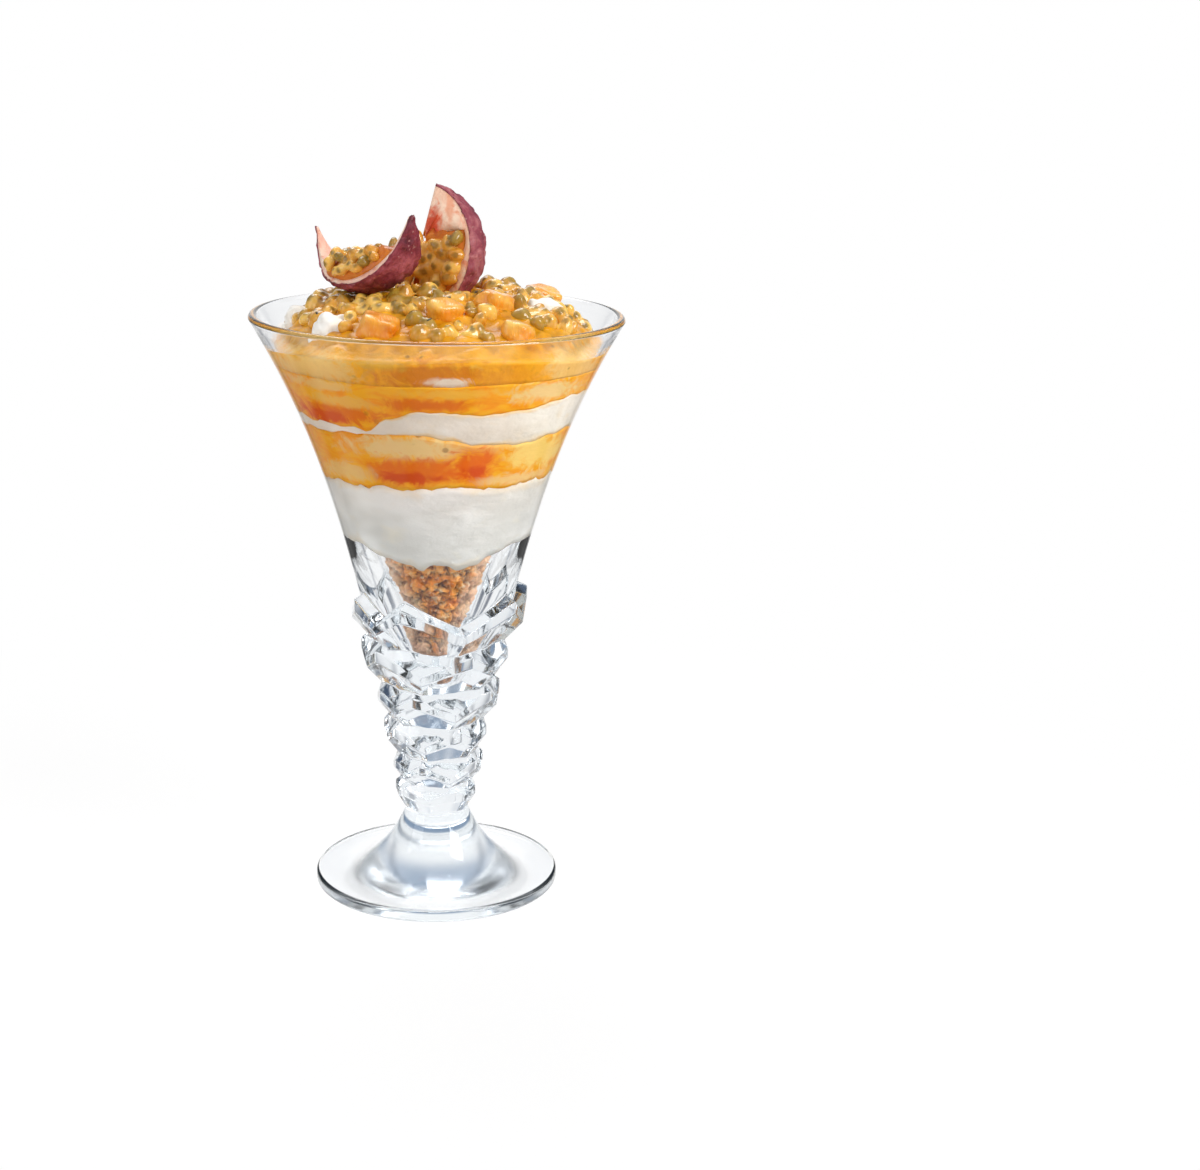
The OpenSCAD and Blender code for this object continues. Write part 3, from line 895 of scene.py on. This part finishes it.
def aril_spots(count, dice):
    spots = []
    for i in range(count):
        radius = (TOP_R - 3.2) * math.sqrt((i + 0.5) / count)
        angle = i * GOLDEN_TURN
        p = Vector((radius * cos(angle), radius * sin(angle)))
        p += Vector((dice.uniform(-1, 1), dice.uniform(-1, 1)))
        size = ARIL_R * dice.uniform(0.7, 1.2)
        if p.y < 0 and p.length > TOP_R - 7:
            continue
        if min((p - Vector(m[:2]) * TOP_R).length for m in MANGO_AT) < 0.56 * MANGO_A + 0.5 * size:
            continue
        if min((p - Vector(c) * TOP_R).length for c in CREAM_AT) < 0.7 * DOLLOP_R + 0.3 * size:
            continue
        low = LEFT_C - Vector((p.x, p.y, 0))
        flat = Vector((low.x, low.y)).length
        z = mound_z(p.length) + size * dice.uniform(-0.45, 0.45)
        if flat < FRUIT_R and z + size > LEFT_C.z - math.sqrt(FRUIT_R ** 2 - flat ** 2):
            z = LEFT_C.z - math.sqrt(FRUIT_R ** 2 - flat ** 2) - size - 0.2
            if z < mound_z(p.length) - 1.5:
                continue
        local = RIGHT_TURN.inverted() @ Vector((p.x, p.y, z))
        if local.x > -3.5 and abs(local.y) < local.x * math.tan(radians(WEDGE_HALF)) + 4.5 \
                and Vector(local).length < FRUIT_R + 3:
            continue
        spots.append((Vector((p.x, p.y, z)), size, Vector((0, -0.45, 0.9)).normalized()))
    return spots


ARIL_PLACES, GOLDEN_TURN = 330, 2.39996
spots = aril_spots(ARIL_PLACES, random.Random(11))
print("arils on the mound:", len(spots))
aril_gel = gel_finish("aril_gel", "F4C45A", "DE9E2C", "AE8A2E", "55491C")
lay_arils("aril_heap", spots, aril_gel, "parfait", ["arils"], "aril")

# %% [markdown]
# Some seeds show through the sacs or lie free on the pulp. They are flat dark ovals with a fine
# pitted shell and a wet shine.

# %% Loose seeds
def seed_finish():
    f = Finish("fruit_seed")
    here = f.place()
    pits = f.cells(here, 0.5)
    tone = f.mix(f.noise(here, 3, 2).step(0.35, 0.65), "2A2614", "56512A")
    return f.done(Surface=f.principled(**{
        "Base Color": tone, "Roughness": 0.3 + 0.2 * pits, "Coat Weight": 0.7,
        "Coat Roughness": 0.08, "Normal": f.bump(pits, 0.12)}))


def lay_seeds(name, spots, every, body, nodes, seed=3):
    dice = random.Random(seed)
    ovals = []
    for centre, radius, side in spots[::every]:
        turn = Euler([dice.uniform(-0.7, 0.7), dice.uniform(-0.7, 0.7),
                      dice.uniform(0, 6.28)]).to_matrix()
        start = centre + side * radius * 0.72
        ovals.append(([start + turn @ Vector((1.1 * p.x * (1 - 0.18 * p.x), 0.7 * p.y, 0.45 * p.z))
                       for p in BALL_POINTS], BALL_FACES))
    return make_piece(name, *gather(ovals), seed_finish(), body, nodes, "seed")


lay_seeds("loose_seeds", spots, 7, "parfait", ["seeds"])

# %% [markdown]
# Mango is cut in cubes with a knife, so a piece has six faces, but its edges are soft and the cut
# faces show fibres. A cube is divided finely, drawn in towards a rounded form, and roughened a
# little.

# %% Mango and cream on the mound
def soft_block(size, roundness, wobble, cuts=9):
    points = []
    work = bmesh.new()
    bmesh.ops.create_cube(work, size=2)
    bmesh.ops.subdivide_edges(work, edges=work.edges[:], cuts=cuts, use_grid_fill=True)
    for v in work.verts:
        p = v.co.copy()
        p = p / sum(abs(x) ** roundness for x in p) ** (1 / roundness)
        p *= 1 + 0.2 * noise.noise(p * 1.1 + wobble) + 0.05 * noise.noise(p * 3.3 + wobble)
        points.append(Vector((p.x * size[0], p.y * size[1], p.z * size[2])) / 2)
    faces = [tuple(v.index for v in f.verts) for f in work.faces]
    work.free()
    return points, faces


def mango_finish():
    f = Finish("mango_flesh")
    here = f.place()
    fibre = f.noise(f.place((2.4, 0.5, 0.8)), 1.6, 3)
    tone = f.ramp(f.noise(here, 8, 2), (0.32, "EC8A14"), (0.5, "F5A428"), (0.68, "F9C25A"))
    tone = f.mix(fibre.step(0.5, 0.7) * 0.3, tone, "FBCF7C")
    return f.done(Surface=f.principled(**{
        "Base Color": tone, "Roughness": 0.24 + 0.15 * fibre, "Coat Weight": 0.6,
        "Coat Roughness": 0.1, "Subsurface Weight": 0.2, "Subsurface Radius": (0.8, 0.45, 0.1),
        "Subsurface Scale": 0.004, "Normal": f.bump(fibre, 0.3)}))


def on_mound(x, y, up):
    """A place from two shares of the mound's radius, and a height above its surface."""
    return Vector((x * TOP_R, y * TOP_R, mound_z(math.hypot(x, y) * TOP_R) + up))


def lay_mango():
    size, cubes = (MANGO_A, 0.8 * MANGO_A, 0.62 * MANGO_A), []
    for i, (x, y, spin) in enumerate(MANGO_AT):
        where = Matrix.Translation(on_mound(x, y, 0.05 * MANGO_A))
        whole = where @ turned(("Z", spin), ("Y", 12), ("X", 8))
        block, sides = soft_block(size, 3.2 + i % 3, Vector((7.3 * i, 0, 2)))
        cubes.append(([whole @ p for p in block], sides))
    return make_piece("mango_cubes", *gather(cubes), mango_finish(), "parfait", ["mango"], "mango")


def lay_dollops():
    dollops = []
    for i, (x, y) in enumerate(CREAM_AT):
        where = on_mound(x, y, -0.5 * DOLLOP_R)
        block, sides = soft_block((2 * DOLLOP_R,) * 3, 2.6, Vector((0, 5.1 * i, 1)), 13)
        dollops.append(([where + p * (0.94 + 0.16 * noise.noise(p * 0.35 + Vector((i, 0, 0))))
                         for p in block], sides))
    finish = whipped_cream("dollop_cream", "EFEAE0", "FBF8F2", "F6E7BE", 0.35)
    return make_piece("cream_dollops_soft", *gather(dollops), finish, "parfait", ["cream_dollops"],
                      "cream")


lay_mango()
lay_dollops()

# %% [markdown]
# A wedge of passion fruit has three coats: a thin purple rind that has begun to wrinkle, a thick
# pinkish pith, and pulp with arils in the hollow. Each coat is a slice of a ball shell, from pole
# to pole. The rind's wrinkles are pressed inward, so the wedge stays as large as the fruit was.
# No two cuts are the same: the left wedge narrows to its lower tip and curls in at both, and the
# upper tip of the right one is solid pith, below which the pulp ends in a torn, slanting edge.

# %% Coats of a wedge
def toward(theta, phi):
    """The direction at an angle from the pole and an angle round it, in radians."""
    return Vector((sin(theta) * cos(phi), sin(theta) * sin(phi), cos(theta)))


def shell_slice(outer, inner, turn_by, half, slim, lift, rows=54, cols=22, start=3):
    """A closed slice of shell. slim narrows the lower tip, and lift curls both tips inward."""
    def at(radius, row, col):
        theta = radians(start + (180 - 2 * start) * row / rows)
        narrow = 1 - slim * max(0, -cos(theta)) ** 3
        phi = radians(-half + 2 * half * col / cols) * narrow
        way = toward(theta, phi)
        point = way * radius(way, row / rows, col / cols)
        point.x -= lift * abs(point.z / FRUIT_R) ** 4
        return turn_by @ point

    rings = []
    for row in range(rows + 1):
        ring = [at(outer, row, c) for c in range(cols + 1)]
        ring += [at(inner, row, c) for c in range(cols, -1, -1)]
        rings.append(ring)
    first = sum(rings[0], Vector()) / len(rings[0])
    last = sum(rings[-1], Vector()) / len(rings[-1])
    return skin_rings(rings, first, last)


def rind_radius(seed):
    def radius(way, u, v):
        fold = abs(noise.noise(way * 5.5 + Vector((seed, 0, 0))))
        crease = abs(noise.noise(way * 13 + Vector((0, seed, 0))))
        edge = min(v, 1 - v)
        curl = max(0.0, 1 - edge / 0.07)
        sunk = 0.995 - 0.045 * (1 - fold) ** 4 - 0.018 * (1 - crease) ** 3
        return FRUIT_R * sunk - 0.5 * curl ** 2
    return radius


def rind_finish(name, dark, plum, rose):
    f = Finish(name)
    here = f.place()
    broad = f.noise(here, 8, 4, 0.6, 0.6)
    tone = f.ramp(broad, (0.32, dark), (0.5, plum), (0.68, rose))
    tone = f.mix(specks(f, here, 1.5, (0.12, 0.3), 5, (0.45, 0.6)) * 0.45, tone, "D8A09A")
    crease = f.noise(here, 1.5, 4, 0.6)
    return f.done(Surface=f.principled(**{
        "Base Color": tone, "Roughness": crease * 0.3 + 0.36, "Specular IOR Level": 0.4,
        "Normal": f.bump(crease + f.noise(here, 4, 3) * 1.5, 0.5)}))


def pith_finish(name, pale, pink, stain, patches=()):
    f = Finish(name)
    here = f.place()
    tone = f.mix(f.noise(here, 6, 3, 0.6, 0.4).step(0.34, 0.66), pale, pink)
    tone = f.mix(f.noise(here, 4, 3, 0.6, 0.8).step(0.52, 0.68) * 0.6, tone, stain)
    tone = patched(f, here, tone, patches, 0.7)
    fine = f.noise(here, 1.1, 3)
    return f.done(Surface=f.principled(**{
        "Base Color": tone, "Roughness": 0.5 + 0.2 * fine, "Specular IOR Level": 0.35,
        "Normal": f.bump(fine, 0.25)}))


# %% [markdown]
# Both wedges are made by the same few lines and differ in numbers only: how thick the pith is,
# how far out its solid tip starts, how much the lower tip narrows, and how far the tips curl in.

# %% Both wedges
def flesh_end(way, tip):
    """How far out the pulp reaches towards the solid upper tip. Its torn edge slants."""
    rising = way.z - 0.45 * way.x
    torn = 1 + 0.5 * noise.noise(way * 6) + 0.25 * noise.noise(way * 14)
    return tip * 0.92 * torn / rising if rising > 0.02 else 99


def wedge_coats(side, turn_by, body, seed, shape, skins, piths):
    thick, tip, slim, lift = shape

    def skin_in(way, u, v): return FRUIT_R - SKIN_T
    def pith_out(way, u, v): return FRUIT_R - SKIN_T - 0.02
    def pith_in(way, u, v):
        thin = min(1, 0.25 + abs(sin(math.acos(way.z))) * 1.2)
        deep = thick * thin * (0.82 + 0.5 * noise.noise(way * 3 + Vector((seed, 1, 2))))
        return min(FRUIT_R - SKIN_T - deep, flesh_end(way, tip))

    points, faces = shell_slice(rind_radius(seed), skin_in, turn_by, WEDGE_HALF, slim, lift)
    make_piece(side + "_rind", points, faces, rind_finish(side + "_fruit_rind", *skins), body,
               [side + "_skin"], "skin")
    points, faces = shell_slice(pith_out, pith_in, turn_by, WEDGE_HALF - 0.3, slim, lift)
    make_piece(side + "_pith_flesh", points, faces, pith_finish(side + "_fruit_pith", *piths), body,
               [side + "_pith"], "pith")


TORN_FLESH = [(-1.5, 204, 2.6, 7.5, "DE4A22", 0.95), (3.5, 212, 1.2, 6, "E88A5C", 0.6)]
LEFT_SHAPE, RIGHT_SHAPE = (1.7, 99, 0.6, 2.4), (PITH_T, 5.3, 0.3, 0.0)
wedge_coats("left", LEFT_TURN, "wedge_left", 4.2, LEFT_SHAPE,
            ("541A26", "86303E", "B8606A"), ("F6DCC8", "F0B8A4", "E08A66"))
wedge_coats("right", RIGHT_TURN, "wedge_right", 9.1, RIGHT_SHAPE,
            ("6E2434", "984450", "C47C7C"), ("F8DCC4", "F2BFA2", "E4743C", TORN_FLESH))

# %% [markdown]
# The pulp that is left in each wedge is a heap of arils on a thin bed. The bed is a slice of a
# ball whose hollow is pushed in from the open side. The arils sit in that hollow and on both cut
# faces, and on the right wedge they bulge over its inner edge. Those that would sink into one
# another are left out.

# %% Pulp in the wedges
def hollow_reach(way, depth):
    """How far the hollow reaches: it is a ball, shifted by a share of the fruit's radius."""
    hollow, shift = FRUIT_R - SKIN_T - 0.35 * PITH_T, depth * FRUIT_R
    b = way.x * shift
    return -b + math.sqrt(max(0.0, b * b + hollow ** 2 - shift ** 2))


def wedge_pulp(side, turn_by, body, depth, seed, shape, spots):
    thick, tip, slim, lift = shape

    def outer(way, u, v):
        return min(FRUIT_R - SKIN_T - thick * 0.6, flesh_end(way, tip - 0.1))

    def inner(way, u, v):
        reach = min(outer(way, u, v) - 0.05, hollow_reach(way, depth))
        return max(1.2, reach) * (1 - 0.05 * nugget(way * 20, 4.5))

    start = 3 if tip < 50 else 36
    points, faces = shell_slice(outer, inner, turn_by, WEDGE_HALF - 0.8, slim, lift, 48, 18, start)
    finish = pulp_finish(side + "_wedge_pulp", "F2B050", "E07E2A", "CC4A20", "BC5A22")
    bed = make_piece(side + "_pulp_bed", points, faces, finish, body, [side + "_pulp"], "pulp")
    # An even 0.2 darkens the whole bed a little, through the pulp's painted gap shade.
    keep_numbers(bed, "gap", [0.2] * len(bed.data.vertices))
    placed = [(turn_by @ p, r, (turn_by.to_3x3() @ s).normalized()) for p, r, s in spots]
    gel = gel_finish(side + "_wedge_gel", "F2BE58", "D6922A", "A07E2C", "45421E")
    lay_arils(side + "_wedge_arils", placed, gel, body, [], "aril", seed, 0.45)


def hollow_spots(depth, count, half, seed, size):
    dice = random.Random(seed)
    found = []
    for _ in range(count):
        theta, phi = radians(dice.uniform(42, 138)), radians(dice.uniform(-half, half))
        way = toward(theta, phi)
        reach = max(1.5, hollow_reach(way, depth))
        found.append((way * (reach + 0.4), size * dice.uniform(0.8, 1.1), -way))
    return found


def face_spots(count, half, seed, size, low, high, near, far):
    """Places on a cut face, between two angles from the upper tip and two distances out."""
    dice = random.Random(seed)
    found = []
    phi = radians(half)
    out = Vector((-0.5, 0.85 * (1 if half > 0 else -1), 0))
    for i in range(count):
        theta = radians(dice.uniform(low, high))
        radius = near + (far - near) * math.sqrt(dice.random())
        way = toward(theta, phi)
        found.append((way * radius + out * 0.7, size * dice.uniform(0.75, 1.15), out))
    return found


def edge_spots(low, high, step, seed, size):
    """Arils that bulge over the thin inner edge of a wedge."""
    dice = random.Random(seed)
    return [(Vector((dice.uniform(-1.8, -0.4), dice.uniform(-1.8, 0.4), z)),
             size * dice.uniform(0.8, 1.1), Vector((-0.6, -0.8, 0)))
            for z in range(low, high, step)]


def spaced(spots, share):
    """Leaves out the arils that would sink into one another."""
    kept = []
    for spot in spots:
        if all((spot[0] - other[0]).length > share * (spot[1] + other[1]) for other in kept):
            kept.append(spot)
    return kept


wedge_pulp("left", LEFT_TURN, "wedge_left", 0.39, 21, LEFT_SHAPE, spaced(
    face_spots(90, -WEDGE_HALF, 4, 1.9, 48, 132, 8.5, 16) + hollow_spots(0.39, 60, 30, 2, 2.0)
    + face_spots(60, WEDGE_HALF, 5, 1.9, 48, 132, 8.5, 16), 0.72))
wedge_pulp("right", RIGHT_TURN, "wedge_right", 0.8, 22, RIGHT_SHAPE, spaced(
    edge_spots(-13, 6, 4, 7, 2.6) + face_spots(420, -WEDGE_HALF, 8, 2.9, 64, 152, 0.5, 15)
    + hollow_spots(0.8, 30, 26, 6, 2.4)
    + face_spots(120, WEDGE_HALF, 9, 2.6, 72, 146, 1, 14.5), 0.6))

# %% [markdown]
# The set is a white sweep, as in a catalogue. The floor shows white to the camera and through the
# glass, and a share of it stays a plain surface, so the foot keeps its soft shadow. Glass also
# mirrors and bends what stands round it, so the floor carries the foot of some dark cards. They
# count only for rays that have met nothing but glass, because the food behind the glass would
# lose its light to them.

# %% Floor
CARD_SHADE, FLOOR_HALF, FLOOR_GAP = "46546A", 60.0, 0.0002


def dark_cards(aside, front):
    """Tall dark cards left, right and in front of the glass, with white gaps between them."""
    gap = aside.step(0.47, 0.56) * (1 - aside.step(0.82, 0.9))
    sides = aside.step(0.4, 0.54) * (1 - aside.step(0.94, 0.985))
    return (sides + front.step(0.0, 0.4) * (1 - front.step(0.9, 0.98)) * 0.9).clamp() * (1 - gap)


def sweep():
    f = Finish("white_sweep")
    straight = f.only_glass()
    seen = f.ray("Is Camera Ray") + f.ray("Is Glossy Ray") + f.ray("Is Transmission Ray")
    plain = f.node("ShaderNodeBsdfDiffuse", {}, Color=(0.92, 0.92, 0.92, 1))
    here = f.node("ShaderNodeTexCoord", {}, out="Object")
    away = f.node("ShaderNodeVectorMath", dict(operation="LENGTH"), out="Value", **{"0": here})
    aside = (here.axis("X") / away).math("ABSOLUTE")
    front = (here.axis("Y") / away) * -1
    cards = dark_cards(aside, front) * away.step(0.05, 0.16)
    bent = (1 - f.ray("Is Camera Ray")) * straight
    shade = f.mix(cards * bent, (1, 1, 1, 1), CARD_SHADE)
    mirrored = (front.step(0.2, 0.8) + aside.step(0.15, 0.5) * away.step(0.05, 0.16)).clamp()
    mirrored = f.ray("Is Reflection Ray") * straight * mirrored
    shade = f.mix(mirrored * 0.7, shade, (0, 0, 0, 1))
    white = f.node("ShaderNodeEmission", {}, Strength=1.0, Color=shade)
    share = 0.84 + 0.16 * away.step(0.12, 0.3)
    mixed = f.blend(seen.clamp() * share, plain, white)
    mesh = bpy.data.meshes.new("floor")
    corners = [(FLOOR_HALF * x, FLOOR_HALF * y, 0) for x, y in ((-1, -1), (1, -1), (1, 1), (-1, 1))]
    mesh.from_pydata(corners, [], [(0, 1, 2, 3)])
    mesh.materials.append(f.done(Surface=mixed))
    floor = show("floor", mesh)
    floor.location.z = -FLOOR_GAP


sweep()

# %% [markdown]
# Clear glass in a white room would vanish. A photographer hangs dark cards round it and lamps
# above, and the glass picks them up along its edges and facets. Here the world does that: white
# straight ahead and in the gaps between the cards, grey-blue at the cards and overhead, and only
# for rays that the glass bends or mirrors. A mirrored ray finds the cards wider, which draws the
# dark line along the bowl's edge. Everything else gets one even light.

# %% Room and lamps
LAMP_AIM = Vector((0, 0, 0.13))


def room():
    world = bpy.data.worlds.new("white_room")
    world.use_nodes = True
    bpy.context.scene.world = world
    f = Finish("white_room", world.node_tree)
    way = f.node("ShaderNodeTexCoord", {}, out="Generated")
    aside = way.axis("X").math("ABSOLUTE")
    high = way.axis("Z")
    front = way.axis("Y") * -1
    cards = dark_cards(aside, front) * (1 - high.step(0.6, 0.85))
    roof = high.step(0.25, 0.5) * (1 - high.step(0.75, 0.9))
    glassy = f.mix(cards, f.mix(roof, (1, 1, 1, 1), "8C9FB6"), CARD_SHADE)
    mirrored = f.ray("Is Reflection Ray") * (aside.step(0.15, 0.5) + front.step(0.0, 0.7)).clamp()
    glassy = f.mix(mirrored * (1 - high.step(0.3, 0.6)), glassy, "5C6B7C")
    straight = f.only_glass()
    bent = (f.ray("Is Glossy Ray") + f.ray("Is Transmission Ray")).clamp() * straight
    even, through, seen = [
        f.node("ShaderNodeBackground", {}, Color=shade, Strength=strength)
        for shade, strength in (((1, 1, 1, 1), 0.62), (glassy, 1.0), ((1, 1, 1, 1), 1.0))]
    light = f.blend(f.ray("Is Camera Ray"), f.blend(bent, even, through), seen)
    f.node("ShaderNodeOutputWorld", {}, out=None, Surface=light)


def lamp(name, where, size, watts, tint=(1, 1, 1)):
    data = bpy.data.lights.new(name, "AREA")
    data.shape, data.size, data.energy, data.color = "SQUARE", size, watts, tint
    made = show(name, data)
    made.location = where
    made.rotation_euler = (LAMP_AIM - Vector(where)).to_track_quat("-Z", "Y").to_euler()
    print(name, watts, "W")


room()
lamp("key_right", (0.75, -0.55, 0.75), 0.45, 7.0)
lamp("fill_left", (-0.9, -0.5, 0.45), 0.6, 1.6)
lamp("top_back", (-0.1, 0.55, 0.85), 0.5, 3.0)

# %% [markdown]
# Last, the view settings. The dressed model has to stay as large as the plain one.

# %% Finish
bpy.context.scene.view_settings.view_transform = "Standard"
